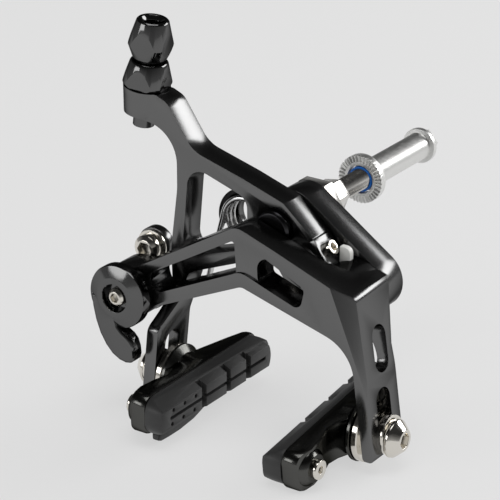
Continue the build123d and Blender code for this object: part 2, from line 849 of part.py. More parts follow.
carrier_back = 10.4
carrier_plate = 2.8
carrier_web_top = -21.8
carrier_web_bottom = -24.6
carrier_web_left = -49.6
carrier_web_right = -39.6
anchor_boss_r = 5.2
anchor_bolt_r = 2.5
with BuildPart() as cable_carrier:
    with BuildSketch(layer(crank_back)):
        with Locations((quick_release_x, eccentric_z)):
            Circle(eccentric_r + 2.2)
        with BuildLine():
            Polyline(
                (carrier_web_left, carrier_web_top),
                (carrier_web_right, carrier_web_top),
                (carrier_web_right, carrier_web_bottom),
                (carrier_web_left, carrier_web_bottom),
                close=True,
            )
        make_face()
    extrude(amount=crank_front - crank_back)
    with BuildSketch(layer(carrier_back)):
        with BuildLine():
            Polyline(
                (carrier_web_left, carrier_web_top),
                (carrier_web_right, carrier_web_top),
                (carrier_web_right, carrier_web_bottom),
                (carrier_web_left, carrier_web_bottom),
                close=True,
            )
        make_face()
    extrude(amount=crank_front - carrier_back)
    with BuildSketch(layer(carrier_back)):
        with Locations((anchor_x, anchor_z)):
            Circle(anchor_boss_r)
        with BuildLine():
            Polyline(
                (anchor_x - anchor_boss_r, anchor_z),
                (anchor_x + anchor_boss_r, anchor_z),
                (carrier_web_right, carrier_web_bottom),
                (carrier_web_left, carrier_web_bottom),
                close=True,
            )
        make_face()
    extrude(amount=carrier_plate)
    with BuildSketch(layer(0)):
        with Locations((quick_release_x, eccentric_z)):
            Circle(eccentric_r + running_gap)
    extrude(amount=crank_front + 1, mode=Mode.SUBTRACT)
    with BuildSketch(layer(0)):
        with Locations((anchor_x, anchor_z)):
            Circle(anchor_bolt_r + running_gap)
    extrude(amount=crank_front + 1, mode=Mode.SUBTRACT)
save(cable_carrier, "cable_carrier")

anchor_head_r = 4.0
anchor_head_front = 17.8
anchor_washer_r = 4.8
anchor_washer_depth = 1.2
clamp_front = carrier_back + carrier_plate + anchor_washer_depth
anchor_bolt_turned = turned(
    [
        (0, -carrier_back + 2.4),
        (anchor_bolt_r, -carrier_back + 2.4),
        (anchor_bolt_r, -clamp_front),
        (anchor_head_r, -clamp_front),
        (anchor_head_r, -anchor_head_front + 0.9),
        (anchor_head_r - 1.2, -anchor_head_front),
        (0, -anchor_head_front),
    ],
    (anchor_x, 0, anchor_z),
    (0, 1, 0),
    (1, 0, 0),
)
with BuildPart() as cable_anchor_bolt:
    add(anchor_bolt_turned.part)
    with BuildSketch(layer(anchor_head_front)):
        with Locations((anchor_x, anchor_z)):
            RegularPolygon(radius=2.0, side_count=6, major_radius=False)
    extrude(amount=-2.2, mode=Mode.SUBTRACT)
save(cable_anchor_bolt, "cable_anchor_bolt")

cable_clamp_washer = pipe(
    anchor_bolt_r + running_gap, anchor_washer_r, carrier_back + carrier_plate, clamp_front, anchor_x, anchor_z
)
save(cable_clamp_washer, "cable_clamp_washer")


def dome(base, way, sphere_r, centre, outer, top):
    """Washer with a domed face towards the leg, on the pad bolt's axis."""
    sense = base.z_dir.X * way
    arc_points = []
    for radius in (pad_bolt_r, (pad_bolt_r + outer) / 2, outer):
        arc_points.append((radius, sense * (centre - (sphere_r**2 - radius**2) ** 0.5)))
    with BuildPart() as washer:
        with BuildSketch(Plane(origin=base.origin, x_dir=(0, 0, 1), z_dir=(0, 1, 0))):
            with BuildLine():
                ThreePointArc(*arc_points)
                Polyline(arc_points[2], (outer, sense * top), (pad_bolt_r, sense * top), arc_points[0])
            make_face()
        revolve(axis=Axis(base.origin, (1, 0, 0)))
    return washer


# Pads with their bolts and dished washers, once for each leg
dish_r = 10.0               # sphere between the two inner washers
outer_dish_r = 8.5          # sphere between the two outer washers
outer_washer_r = 5.4
inner_stack = 4.2
outer_stack = 2.2
stud_boss_end = 7.2
holder_end = 11.8
rubber_end = 17.5
holder_height = 11.5
head_r = 5.25
head_height = 3.3
groove_depth = 1.6
groove_width = 1.2
long_groove_width = 1.0
groove_places = (7.7, -3.8, -14.0)     # ahead of the bolt
crescent_place = 20.5       # the crescent's middle, behind the bolt
crescent_r = 6.0
crescent_shift = 2.2
flank_height = 0.8          # the flanks rise straight this far before they taper
insert_boss_r = 5.5
insert_boss_height = 2.6
insert_screw_r = 1.6
insert_head_r = 2.7
insert_head_height = 1.4
for side, name, leg_x, lean, pitch, slot_plane in (
    (-1, "left", left_leg_x, left_leg_lean, 0, slot_plane_left),
    (1, "right", right_leg_x, right_leg_lean, pad_pitch, slot_plane_right),
):
    dip = radians(pitch)
    # local X runs forwards on the right and backwards on the left, local Y up, Z inwards
    pad_plane = Plane(
        origin=(leg_x, pad_y, -reach),
        x_dir=(0, -side * cos(dip), -side * sin(dip)),
        z_dir=(-side, 0, 0),
    )
    outer_face = leg_wall / cos(radians(lean))
    inner_centre = Vector(leg_x - side * (dish_r + 0.35), pad_y, -reach)
    outer_centre = Vector(leg_x + side * (outer_face + outer_dish_r + 0.15), pad_y, -reach)

    with BuildPart() as inner_seat_washer:
        with BuildSketch(slot_plane):
            Circle(washer_r)
        extrude(amount=-2.6)
        with Locations(inner_centre):
            Sphere(dish_r + seat_gap, mode=Mode.SUBTRACT)
        with BuildSketch(pad_plane.offset(-3)):
            Circle(pad_bolt_r + 0.7)
        extrude(amount=9, mode=Mode.SUBTRACT)
    save(inner_seat_washer, name + "_inner_seat_washer")

    inner_dome_washer = dome(pad_plane, 1, dish_r, dish_r + 0.35, washer_r + 1, inner_stack)
    save(inner_dome_washer, name + "_inner_dome_washer")

    with BuildPart() as outer_seat_washer:
        with BuildSketch(slot_plane.offset(leg_wall)):
            Circle(outer_washer_r)
        extrude(amount=2.0)
        with Locations(outer_centre):
            Sphere(outer_dish_r + seat_gap, mode=Mode.SUBTRACT)
        with BuildSketch(pad_plane.offset(-leg_wall - 6)):
            Circle(pad_bolt_r + 0.7)
        extrude(amount=9, mode=Mode.SUBTRACT)
    save(outer_seat_washer, name + "_outer_seat_washer")

    outer_dome_washer = dome(
        pad_plane.offset(-outer_face), -1, outer_dish_r, outer_dish_r + 0.15, outer_washer_r, outer_stack
    )
    save(outer_dome_washer, name + "_outer_dome_washer")

    head_base = -outer_face - outer_stack
    pad_bolt_turned = turned(
        [
            (0, head_base - head_height),
            (3.0, head_base - head_height),
            (head_r, head_base - 0.8),
            (head_r, head_base),
            (pad_bolt_r, head_base),
            (pad_bolt_r, holder_end - 2.5),
            (0, holder_end - 2.5),
        ],
        pad_plane.origin,
        pad_plane.z_dir,
        (0, 1, 0),
    )
    with BuildPart() as pad_bolt:
        add(pad_bolt_turned.part)
        with BuildSketch(pad_plane.offset(head_base - head_height)):
            RegularPolygon(radius=2.0, side_count=6, major_radius=False)
        extrude(amount=2.6, mode=Mode.SUBTRACT)
    save(pad_bolt, name + "_pad_bolt")

    middle = side * (pad_nose - pad_length / 2)
    insert_x = side * (pad_nose - 6.0)
    with BuildPart() as pad_holder:
        with BuildSketch(pad_plane.offset(stud_boss_end)):
            with Locations((middle, 0)):
                RectangleRounded(pad_length, holder_height, 4.5)
        extrude(amount=holder_end - stud_boss_end)
        with BuildSketch(pad_plane.offset(stud_boss_end)):
            Circle(washer_r - 0.5)
        extrude(amount=inner_stack - stud_boss_end)
        with BuildSketch(pad_plane.offset(stud_boss_end)):
            with Locations((insert_x, 0)):
                Circle(insert_boss_r)
        extrude(amount=-insert_boss_height)
        with BuildSketch(pad_plane.offset(inner_stack)):
            Circle(pad_bolt_r)
        extrude(amount=holder_end - 2.5 - inner_stack, mode=Mode.SUBTRACT)
        with BuildSketch(pad_plane.offset(stud_boss_end - 3)):
            with Locations((insert_x, 0)):
                Circle(insert_screw_r)
        extrude(amount=6, mode=Mode.SUBTRACT)
    save(pad_holder, name + "_pad_holder")

    with BuildPart() as insert_screw:
        with BuildSketch(pad_plane.offset(stud_boss_end - insert_boss_height)):
            with Locations((insert_x, 0)):
                Circle(insert_head_r)
        extrude(amount=-insert_head_height)
        with BuildSketch(pad_plane.offset(stud_boss_end - insert_boss_height)):
            with Locations((insert_x, 0)):
                Circle(insert_screw_r)
        extrude(amount=5.5)
        with BuildSketch(pad_plane.offset(stud_boss_end - insert_boss_height - insert_head_height)):
            with Locations((insert_x, 0)):
                RegularPolygon(radius=1.0, side_count=6, major_radius=False)
        extrude(amount=1.5, mode=Mode.SUBTRACT)
    save(insert_screw, name + "_insert_screw")

    with BuildPart() as brake_pad:
        with BuildSketch(pad_plane.offset(holder_end)):
            with Locations((middle, 0)):
                RectangleRounded(pad_length, pad_height, 4.3)
        extrude(amount=rubber_end - holder_end)
        # the flanks taper towards the rim
        flank_plane = Plane(
            origin=pad_plane.from_local_coords((-40, 0, 0)),
            x_dir=pad_plane.z_dir,
            z_dir=pad_plane.x_dir,
        )
        for flank in (-1, 1):
            with BuildSketch(flank_plane):
                with BuildLine():
                    Polyline(
                        (holder_end, flank * (pad_height / 2 + 3)),
                        (holder_end + flank_height, flank * pad_height / 2),
                        (rubber_end + 1, flank * (pad_face_height / 2 - 0.5)),
                        (rubber_end + 1, flank * (pad_height / 2 + 3)),
                        close=True,
                    )
                make_face()
            extrude(amount=80, mode=Mode.SUBTRACT)
        with BuildSketch(pad_plane.offset(rubber_end)):
            with Locations([(side * place, 0) for place in groove_places]):
                Rectangle(groove_width, pad_height + 1)
            with Locations((middle, 0)):
                Rectangle(pad_length - 8, long_groove_width)
        extrude(amount=-groove_depth, mode=Mode.SUBTRACT)
        # crescent recess at the end behind the leg
        with BuildSketch(pad_plane.offset(rubber_end)):
            with Locations((-side * crescent_place, 0)):
                Circle(crescent_r)
            with Locations((-side * (crescent_place - crescent_shift), 0)):
                Circle(crescent_r + 0.4, mode=Mode.SUBTRACT)
        extrude(amount=-groove_depth, mode=Mode.SUBTRACT)
    save(brake_pad, name + "_brake_pad")
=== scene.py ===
import json
from math import cos, radians, sin

import bpy
from mathutils import Matrix, Vector


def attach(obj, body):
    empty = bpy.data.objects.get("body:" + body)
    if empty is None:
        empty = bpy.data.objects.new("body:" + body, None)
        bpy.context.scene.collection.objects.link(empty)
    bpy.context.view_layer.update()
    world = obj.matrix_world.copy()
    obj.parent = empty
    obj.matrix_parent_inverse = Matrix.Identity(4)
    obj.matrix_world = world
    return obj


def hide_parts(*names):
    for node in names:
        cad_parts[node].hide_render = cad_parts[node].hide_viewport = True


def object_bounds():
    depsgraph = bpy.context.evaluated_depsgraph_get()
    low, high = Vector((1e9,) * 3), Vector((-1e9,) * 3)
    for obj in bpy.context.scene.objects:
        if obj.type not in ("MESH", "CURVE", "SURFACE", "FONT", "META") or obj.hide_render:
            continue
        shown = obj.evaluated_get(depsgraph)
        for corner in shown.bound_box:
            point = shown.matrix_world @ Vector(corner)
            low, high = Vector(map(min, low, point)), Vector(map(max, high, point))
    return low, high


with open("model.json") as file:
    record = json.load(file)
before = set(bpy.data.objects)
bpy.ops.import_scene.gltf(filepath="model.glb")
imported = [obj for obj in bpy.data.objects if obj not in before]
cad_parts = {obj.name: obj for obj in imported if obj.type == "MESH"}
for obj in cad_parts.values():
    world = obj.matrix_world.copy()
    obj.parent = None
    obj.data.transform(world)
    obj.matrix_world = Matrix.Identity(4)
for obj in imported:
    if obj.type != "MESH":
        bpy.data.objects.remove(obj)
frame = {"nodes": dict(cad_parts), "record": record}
cad_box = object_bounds()
nodes = frame["nodes"]
record = frame["record"]

# Edges and small gaps are in metres. Places, outlines and profiles are in mm
mm = 0.001
join_gap = 0.002 * mm           # vertices nearer than this are one
machined_edge = 0.30 * mm       # radius that tumbling leaves on the milled arms
turned_edge = 0.12 * mm
moulded_edge = 0.25 * mm
fin_edge = 0.35 * mm
holder_edge = 0.9 * mm

body_of = {node: body for body, members in record["behaviour"]["bodies"].items() for node in members}


def linear(hex_colour):
    """Linear RGBA from an sRGB hex value."""
    channels = [int(hex_colour[i:i + 2], 16) / 255 for i in (1, 3, 5)]
    return [c / 12.92 if c <= 0.04045 else ((c + 0.055) / 1.055) ** 2.4 for c in channels] + [1.0]


def add_node(tree, kind, settings=(), inputs=(), links=()):
    """One node: its settings, the values on its sockets, and links from (node, output) to a socket."""
    node = tree.nodes.new(kind)
    for name, value in dict(settings).items():
        setattr(node, name, value)
    for name, value in dict(inputs).items():
        node.inputs[name].default_value = value
    for name, (source, output) in dict(links).items():
        tree.links.new(source.outputs[output], node.inputs[name])
    return node


def empty_tree(owner):
    """Node tree of a material or world, with nothing in it."""
    owner.use_nodes = True
    owner.node_tree.nodes.clear()
    return owner.node_tree


def add_noise(tree, place, size, detail):
    """Noise that is fixed to the object, with patches of about the given size."""
    return add_node(
        tree, "ShaderNodeTexNoise",
        inputs={"Scale": 1.0 / size, "Detail": detail},
        links={"Vector": (place, "Object")},
    )


def new_material(name, looks, roughness_range, patches, relief=None):
    """Principled material. Its roughness wanders between two values over patches (size, detail), and
    a relief (size, detail, strength, height) may stand on its skin."""
    material = bpy.data.materials.new(name)
    tree = empty_tree(material)
    place = add_node(tree, "ShaderNodeTexCoord")
    lowest, highest = roughness_range
    wander = add_node(
        tree, "ShaderNodeMapRange",
        inputs={"To Min": lowest, "To Max": highest},
        links={"Value": (add_noise(tree, place, *patches), "Fac")},
    )
    shader = add_node(
        tree, "ShaderNodeBsdfPrincipled",
        inputs=looks, links={"Roughness": (wander, "Result")},
    )
    if relief:
        size, detail, strength, height = relief
        bump = add_node(
            tree, "ShaderNodeBump",
            inputs={"Strength": strength, "Distance": height},
            links={"Height": (add_noise(tree, place, size, detail), "Fac")},
        )
        tree.links.new(bump.outputs["Normal"], shader.inputs["Normal"])
    add_node(tree, "ShaderNodeOutputMaterial", links={"Surface": (shader, "BSDF")})
    return material


def anodised_aluminium(name, colour, roughness, bead_size, bead_strength):
    """Black dyed oxide on aluminium: a dark mirror with a soft sheen from the blasted skin below it."""
    looks = {"Base Color": linear(colour), "Metallic": 1.0, "Specular Tint": linear("#8a8a8a")}
    dye_patches = (14 * mm, 2.0)
    beads = (bead_size, 3.0, bead_strength, 0.02 * mm)
    return new_material(name, looks, (roughness * 0.85, roughness * 1.2), dye_patches, beads)


def bright_metal(name, colour, roughness):
    """Nickel-plated or turned steel: bright, with fine marks from the tool and handling."""
    looks = {"Base Color": linear(colour), "Metallic": 1.0}
    tool_marks = (1.2 * mm, 4.0)
    return new_material(name, looks, (roughness * 0.6, roughness * 1.5), tool_marks)


def moulded_plastic(name, colour, roughness, grain_size, grain_strength):
    """Moulded nylon, acetal or rubber: no metal, with a faint texture from the mould."""
    looks = {"Base Color": linear(colour)}
    grain = (grain_size, 4.0)
    relief = grain + (grain_strength, 0.05 * mm)
    return new_material(name, looks, (roughness * 0.85, roughness * 1.15), grain, relief)


satin_black = anodised_aluminium("satin_black_anodised", "#6e6e6e", 0.20, 0.12 * mm, 0.10)
gloss_black = anodised_aluminium("polished_black_anodised", "#646464", 0.12, 0.2 * mm, 0.04)
holder_black = anodised_aluminium("pad_holder_anodised", "#565654", 0.18, 0.12 * mm, 0.15)
black_oxide = anodised_aluminium("black_oxide_steel", "#3a3a3c", 0.22, 0.2 * mm, 0.08)
nickel = bright_metal("nickel_plated_steel", "#dedad2", 0.12)
turned_steel = bright_metal("turned_steel", "#d4d2ce", 0.22)
zinc_plate = bright_metal("zinc_plated_steel", "#e6e6e4", 0.38)
spring_steel = bright_metal("drawn_spring_wire", "#cfcfcf", 0.16)
bronze = bright_metal("sintered_bronze", "#a8875a", 0.4)
acetal = moulded_plastic("white_acetal", "#e6e6e2", 0.35, 0.4 * mm, 0.05)
black_nylon = moulded_plastic("black_nylon", "#141414", 0.4, 0.3 * mm, 0.1)
blue_nylon = moulded_plastic("blue_nylon", "#1878dc", 0.4, 0.3 * mm, 0.1)
pad_rubber = moulded_plastic("brake_pad_rubber", "#2c2c2c", 0.46, 0.25 * mm, 0.2)


def near(a, b):
    """Whether two lengths in mm are the same, but for rounding."""
    return abs(a - b) < 0.05


def start_edit(piece, selection="DESELECT"):
    """Edit mode on one piece, with nothing in it selected, or all of it."""
    bpy.ops.object.select_all(action="DESELECT")
    bpy.context.view_layer.objects.active = piece
    piece.select_set(True)
    bpy.ops.object.mode_set(mode="EDIT")
    bpy.ops.mesh.select_mode(type="VERT")
    bpy.ops.mesh.select_all(action=selection)


def end_edit(face_outward=False):
    """Back to object mode, if asked with all faces turned outward first."""
    if face_outward:
        bpy.ops.mesh.select_all(action="SELECT")
        bpy.ops.mesh.normals_make_consistent(inside=False)
    bpy.ops.mesh.select_all(action="DESELECT")
    bpy.ops.object.mode_set(mode="OBJECT")


def merged_copy(name, flat_angle=0.4):
    """Copy of a CAD node's mesh with its loose triangles joined into clean faces."""
    piece = bpy.data.objects.new(name + "_finished", nodes[name].data.copy())
    bpy.context.collection.objects.link(piece)
    start_edit(piece, "SELECT")
    bpy.ops.mesh.remove_doubles(threshold=join_gap)
    bpy.ops.mesh.dissolve_limited(angle_limit=radians(flat_angle))
    end_edit()
    return piece


def shift(piece, test, move):
    """Moves the vertices whose place, in mm, passes the test."""
    start_edit(piece)
    bpy.ops.object.mode_set(mode="OBJECT")
    for vertex in piece.data.vertices:
        vertex.select = test(*(vertex.co / mm))
    bpy.ops.object.mode_set(mode="EDIT")
    bpy.ops.transform.translate(value=Vector(move) * mm)
    end_edit()


def bevel_edges(piece, test, width, segments):
    """Rounds the edges whose two ends, in mm, pass the test."""
    start_edit(piece)
    bpy.ops.mesh.select_mode(type="EDGE")
    bpy.ops.object.mode_set(mode="OBJECT")
    points = [vertex.co / mm for vertex in piece.data.vertices]
    for edge in piece.data.edges:
        edge.select = test(points[edge.vertices[0]], points[edge.vertices[1]])
    bpy.ops.object.mode_set(mode="EDIT")
    bpy.ops.mesh.bevel(offset=width * mm, segments=segments, clamp_overlap=True)
    end_edit()


def block(name, low, high):
    """Rough block between two corners, to be cut and shaped."""
    low, high = Vector(low) * mm, Vector(high) * mm
    bpy.ops.object.select_all(action="DESELECT")
    bpy.ops.mesh.primitive_cube_add(size=1, location=(low + high) / 2, scale=high - low)
    piece = bpy.context.active_object
    piece.name = name
    bpy.ops.object.transform_apply(location=True, rotation=True, scale=True)
    return piece


def outline(name, points, fill):
    """Closed outline through some points, filled with a face or left open."""
    bpy.ops.object.select_all(action="DESELECT")
    bpy.ops.mesh.primitive_circle_add(vertices=len(points), radius=mm, fill_type=fill)
    piece = bpy.context.active_object
    piece.name = name
    for vertex, point in zip(piece.data.vertices, points):
        vertex.co = Vector(point) * mm
    return piece


def slice_along_y(piece, places):
    """Cuts new edge loops across the piece at some places along Y."""
    start_edit(piece)
    for place in places:
        bpy.ops.mesh.select_all(action="SELECT")
        bpy.ops.mesh.bisect(plane_co=(0, place * mm, 0), plane_no=(0, 1, 0))
    end_edit()


def turned_piece(name, origin, axis, profile, hole=False, sides=48):
    """Lathe work: a circle is drawn out along the axis and widened to each (along, radius) in turn.
    With a hole the profile is a closed loop that comes back to its first point."""
    axis = Vector(axis)
    origin = Vector(origin)
    along, radius = profile[0]
    bpy.ops.object.select_all(action="DESELECT")
    bpy.ops.mesh.primitive_circle_add(
        vertices=sides, radius=radius * mm, fill_type="NOTHING" if hole else "NGON",
        location=(origin + axis * along) * mm, rotation=axis.to_track_quat("Z", "Y").to_euler(),
    )
    piece = bpy.context.active_object
    piece.name = name
    bpy.ops.object.transform_apply(location=True, rotation=True, scale=True)
    start_edit(piece, "SELECT")
    for next_along, next_radius in profile[1:]:
        step = axis * (next_along - along) * mm
        bpy.ops.mesh.extrude_region_move(TRANSFORM_OT_translate={"value": step})
        bpy.ops.transform.resize(value=[next_radius / radius] * 3)
        along, radius = next_along, next_radius
    bpy.ops.mesh.select_all(action="SELECT")
    bpy.ops.mesh.remove_doubles(threshold=join_gap)
    end_edit(face_outward=True)
    return piece


def combine(piece, other, operation):
    """Boolean union or difference with another piece, which is used up."""
    bpy.context.view_layer.objects.active = piece
    join = piece.modifiers.new("combine", "BOOLEAN")
    join.operation = operation
    join.solver = "EXACT"
    join.object = other
    bpy.ops.object.modifier_apply(modifier=join.name)
    bpy.data.objects.remove(other)


def round_edges(piece, radius, angle=28):
    """Small real radius on every sharp edge, as tumbling or the mould leaves it."""
    bpy.context.view_layer.objects.active = piece
    edge = piece.modifiers.new("edge_radius", "BEVEL")
    edge.width = radius
    edge.segments = 2
    edge.limit_method = "ANGLE"
    edge.angle_limit = radians(angle)
    edge.miter_outer = "MITER_ARC"
    bpy.ops.object.modifier_apply(modifier=edge.name)


def smooth(piece, crease=40):
    """Smooth shading, with a crease wherever the faces turn by more than some degrees."""
    bpy.ops.object.select_all(action="DESELECT")
    bpy.context.view_layer.objects.active = piece
    piece.select_set(True)
    bpy.ops.object.shade_smooth_by_angle(angle=radians(crease))


def paint(piece, material):
    """The material becomes the piece's only one."""
    piece.data.materials.clear()
    piece.data.materials.append(material)


def add_to(piece, name, material):
    """The piece takes a finish and rides on a CAD node's body."""
    paint(piece, material)
    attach(piece, body_of[name])


def stand_for(piece, name, material):
    """The piece takes the place of a CAD node."""
    add_to(piece, name, material)
    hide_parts(name)


def finish_pieces(material, radius, *names):
    """CAD nodes that need only clean faces, small edge radii and a finish."""
    for name in names:
        piece = merged_copy(name)
        round_edges(piece, radius)
        smooth(piece)
        stand_for(piece, name, material)


def dress(material, *names):
    """CAD nodes that are shown as they are, in a finish."""
    for name in names:
        paint(nodes[name], material)


finish_pieces(satin_black, machined_edge, "bridge", "upper_arm", "lower_arm", "cable_carrier")
finish_pieces(black_oxide, turned_edge, "pivot_cap")
finish_pieces(turned_steel, turned_edge, "lock_nut", "side_pivot_bolt", "centring_flats")
finish_pieces(zinc_plate, turned_edge, "sleeve_nut", "star_washer")
finish_pieces(nickel, turned_edge, "centring_screw", "release_screw", "release_shaft", "cable_anchor_bolt",
              "cable_clamp_washer", "centre_thrust_washer", "side_thrust_washer", "spring_peg")
finish_pieces(acetal, turned_edge, "link_seat")
finish_pieces(black_nylon, turned_edge, "spring_holder")
finish_pieces(blue_nylon, turned_edge, "nut_locking_ring")
dress(spring_steel, "return_spring")
dress(bronze, "upper_arm_bush", "lower_arm_bush")

# Release lever: a coned disc with a cup for the screw, and a curved hook that a finger pulls
lever_x, lever_z = -41.0, -24.3
lever_back, lever_front = 42.0, 47.8
lever_bore_r = 1.55
hook_back, hook_front = -43.6, -47.5
hook_edge_r = 1.1
cup_r = 4.1
cup_start = -48.5
cup_length = 2.9
cup_edge_r = 0.3
hook_points = [
    (-49.4, -24.5), (-49.0, -28.5), (-48.1, -32.5), (-46.7, -36.2), (-44.8, -39.3), (-42.6, -41.6),
    (-40.2, -42.9), (-38.0, -43.3), (-36.4, -43.0), (-35.4, -42.1), (-35.0, -40.6), (-35.2, -38.4),
    (-35.9, -36.4), (-37.2, -35.0), (-38.8, -34.1), (-40.4, -32.8), (-41.5, -30.5), (-41.0, -27.0),
]


def on_cup_rim(point):
    """Whether a point lies on the cup's front edge."""
    return near(point.y, -lever_front) and near((point.xz - Vector((lever_x, lever_z))).length, cup_r)


hook = outline("hook", [(x, hook_back, z) for x, z in hook_points], "NGON")
start_edit(hook, "SELECT")
bpy.ops.mesh.extrude_region_move(TRANSFORM_OT_translate={"value": (0, (hook_front - hook_back) * mm, 0)})
end_edit(face_outward=True)
bevel_edges(hook, lambda a, b: near(a.y, hook_front) and near(b.y, hook_front), hook_edge_r, 3)
lever = turned_piece("release_lever_finished", (lever_x, 0, lever_z), (0, -1, 0), [
    (lever_back, lever_bore_r), (lever_back, 7.4), (42.7, 7.5), (43.2, 8.7), (43.7, 9.2),
    (46.1, 9.2), (46.5, 9.0), (47.7, 6.0), (lever_front, 5.6), (lever_front, lever_bore_r),
    (lever_back, lever_bore_r),
], hole=True, sides=72)
cup = turned_piece("cup", (lever_x, cup_start, lever_z), (0, 1, 0), [(0, cup_r), (cup_length, cup_r)])
combine(lever, hook, "UNION")
combine(lever, cup, "DIFFERENCE")
bevel_edges(lever, lambda a, b: on_cup_rim(a) and on_cup_rim(b), cup_edge_r, 2)
smooth(lever, crease=38)
stand_for(lever, "release_lever", gloss_black)

# Cable adjuster and its lock ring: turned, with four broad polished flats each
adjuster_lean = radians(7.1)
adjuster_place = Vector((-42.35, -25.8, 49.6))
adjuster_axis = Vector((-sin(adjuster_lean), 0, -cos(adjuster_lean)))
adjuster_side = Vector((cos(adjuster_lean), 0, -sin(adjuster_lean)))
flats_turn = 8.4                # degrees that the first flat is turned away from the front
knobs = {
    "cable_adjuster": (5.2, [
        (1.2, 2.5), (0.1, 3.3), (0, 4.1), (0.4, 4.5), (6.8, 6.3), (7.3, 6.3), (11.4, 4.6),
        (11.7, 4.2), (11.7, 3.0), (31.0, 3.0), (31.0, 1.2), (9.0, 1.2), (9.0, 2.5), (1.2, 2.5),
    ]),
    "adjuster_lock_ring": (5.75, [
        (12.3, 3.05), (11.9, 4.7), (11.9, 5.0), (12.3, 5.3), (17.9, 6.9), (18.4, 6.9),
        (19.2, 6.3), (19.2, 3.05), (12.3, 3.05),
    ]),
}
for name, (flat_distance, profile) in knobs.items():
    knob = turned_piece(name + "_finished", adjuster_place, adjuster_axis, profile, hole=True, sides=72)
    start_edit(knob)
    for quarter in range(4):
        turn = radians(flats_turn - 90 + 90 * quarter)
        outward = adjuster_side * cos(turn) + Vector((0, 1, 0)) * sin(turn)
        bpy.ops.mesh.select_all(action="SELECT")
        bpy.ops.mesh.bisect(plane_co=(adjuster_place + outward * flat_distance) * mm,
                            plane_no=outward, use_fill=True, clear_outer=True)
    end_edit()
    round_edges(knob, turned_edge, angle=25)
    smooth(knob, crease=22)
    stand_for(knob, name, gloss_black)

# White acetal guard on the side pivot's boss, beside the seat that the centring screw pushes on
guard_low, guard_high = (16.9, -24.6, -9.0), (20.2, -22.7, -3.2)
guard_corner_r = 1.8
guard = block("link_seat_guard", guard_low, guard_high)
bevel_edges(guard, lambda a, b: not near(a.y, b.y) and near(a.x, guard_high[0])
            and near(a.z, guard_high[2]), guard_corner_r, 5)
round_edges(guard, moulded_edge)
smooth(guard)
add_to(guard, "link_seat", acetal)

# Centre bolt: the stud behind the bridge carries a real M6 thread
thread_r = 3.0
thread_root_r = 2.45
thread_pitch = 1.0
thread_start = 0.4
thread_turns = 31
thread_sink = 0.05              # the ridge's foot lies this deep in the stud
thread_gap = 0.02               # half the gap between one turn's foot and the next
turn_steps = 24
clearance_r = 4.0
clearance_end = 33.0
bolt = merged_copy("centre_bolt")
combine(bolt, turned_piece("stud_clearance", (0, 0, 0), (0, 1, 0), [
    (thread_start, thread_root_r), (thread_start, clearance_r), (clearance_end, clearance_r),
    (clearance_end, thread_root_r), (thread_start, thread_root_r),
], hole=True), "DIFFERENCE")
round_edges(bolt, turned_edge)
smooth(bolt)
stand_for(bolt, "centre_bolt", turned_steel)

thread = outline("stud_thread", [
    (thread_root_r - thread_sink, thread_start + thread_gap, 0),
    (thread_r, thread_start + thread_pitch / 2, 0),
    (thread_root_r - thread_sink, thread_start + thread_pitch - thread_gap, 0),
], "NOTHING")
winding = thread.modifiers.new("winding", "SCREW")
winding.axis = "Y"
winding.screw_offset = thread_pitch * mm
winding.iterations = thread_turns - 1
winding.steps = winding.render_steps = turn_steps
winding.use_merge_vertices = True
winding.merge_threshold = join_gap
bpy.ops.object.modifier_apply(modifier=winding.name)
start_edit(thread, "SELECT")
bpy.ops.mesh.fill_holes(sides=0)
end_edit(face_outward=True)
smooth(thread, crease=30)
add_to(thread, "centre_bolt", turned_steel)

# Pad holder, modelled on the left: a boat in plan, wide at the bolt and thin behind, with a flared
# cup for the washers
left_leg_x = -32.2              # inner face of the left leg at the bolt
pad_bolt_y, pad_bolt_z = -34.3, -49.2
pad_bolt_place = (left_leg_x, pad_bolt_y, pad_bolt_z)
insert_place = (left_leg_x, -56.3, pad_bolt_z)
holder_low, holder_high = (-26, -62.3, -55.0), (-20.4, -8.3, -43.4)
holder_ends = (holder_low[1], holder_high[1])
holder_corner_r = 4.4
# X of the holder's back face, at places along Y
holder_back = {
    -62.3: -25.4, -56.0: -26.6, -50.5: -26.0, -46.0: -24.8, -42.5: -25.6, -39.0: -27.4,
    -30.5: -28.0, -26.0: -27.0, -17.0: -25.0, -11.7: -23.6, -8.3: -22.0,
}
holder = block("left_pad_holder_finished", holder_low, holder_high)
slice_along_y(holder, list(holder_back)[1:-1])
for place, back in holder_back.items():
    shift(holder, lambda x, y, z: near(y, place) and near(x, holder_low[0]), (back - holder_low[0], 0, 0))
bevel_edges(holder, lambda a, b: not near(a.x, b.x) and near(a.y, b.y) and near(a.z, b.z)
            and any(near(a.y, end) for end in holder_ends), holder_corner_r, 6)
round_edges(holder, holder_edge, angle=40)
combine(holder, turned_piece("washer_cup", pad_bolt_place, (1, 0, 0), [
    (4.25, 6.0), (3.4, 8.2), (3.1, 8.5), (3.2, 8.8), (3.9, 8.8), (5.6, 7.0), (9.0, 6.2),
]), "UNION")
combine(holder, turned_piece("insert_boss", insert_place, (1, 0, 0), [
    (10.0, 5.4), (6.6, 5.4), (5.4, 4.8), (4.7, 3.9), (4.6, 3.0),
]), "UNION")

# The washer inside the cup: a bright dish that faces the leg
dish = turned_piece("left_inner_dome_washer_finished", pad_bolt_place, (1, 0, 0), [
    (1.3, 3.1), (1.3, 6.0), (0.9, 8.2), (1.1, 8.5), (2.4, 8.5), (3.1, 8.0), (4.1, 5.8), (4.1, 3.1),
    (1.3, 3.1),
], hole=True, sides=64)

